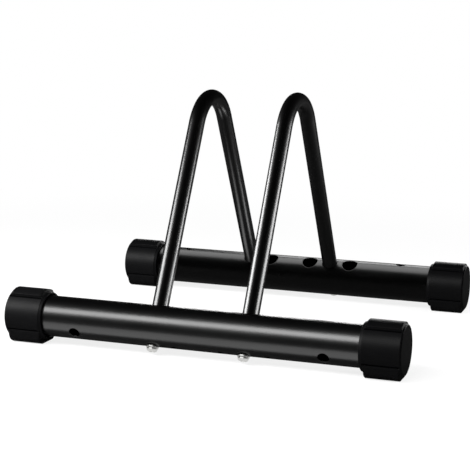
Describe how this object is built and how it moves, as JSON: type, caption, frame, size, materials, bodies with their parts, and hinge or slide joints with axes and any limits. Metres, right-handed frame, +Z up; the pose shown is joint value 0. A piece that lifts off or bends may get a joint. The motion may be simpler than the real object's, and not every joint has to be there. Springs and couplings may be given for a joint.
{
  "type": "floor bike rack",
  "caption": "Low black floor rack with two bent-tube hoops that hold a bicycle wheel upright between them, on two capped tubes.",
  "frame": {"origin": "on the floor, under the middle of the rack", "axes": "+X along the two track tubes to the right, +Y from the front tube to the rear one, along the wheel's rolling direction, +Z up"},
  "size_m": [0.396, 0.3324, 0.2425],
  "materials": {
    "black_paint": "smooth glossy black powder coat",
    "cap_rubber": "matte moulded black rubber",
    "zinc_plate": "bright zinc plate",
    "bare_steel": "plain turned steel"
  },
  "bodies": {
    "root": {"front_tube": "black_paint", "rear_tube": "black_paint", "left_hoop": "black_paint", "right_hoop": "black_paint", "front_left_cap": "cap_rubber", "front_left_leg_plug": "bare_steel", "front_left_washer": "zinc_plate", "front_left_bolt": "zinc_plate", "front_right_cap": "cap_rubber", "front_right_leg_plug": "bare_steel", "front_right_washer": "zinc_plate", "front_right_bolt": "zinc_plate", "rear_left_cap": "cap_rubber", "rear_left_leg_plug": "bare_steel", "rear_left_washer": "zinc_plate", "rear_left_bolt": "zinc_plate", "rear_right_cap": "cap_rubber", "rear_right_leg_plug": "bare_steel", "rear_right_washer": "zinc_plate", "rear_right_bolt": "zinc_plate"}
  },
  "joints": []
}
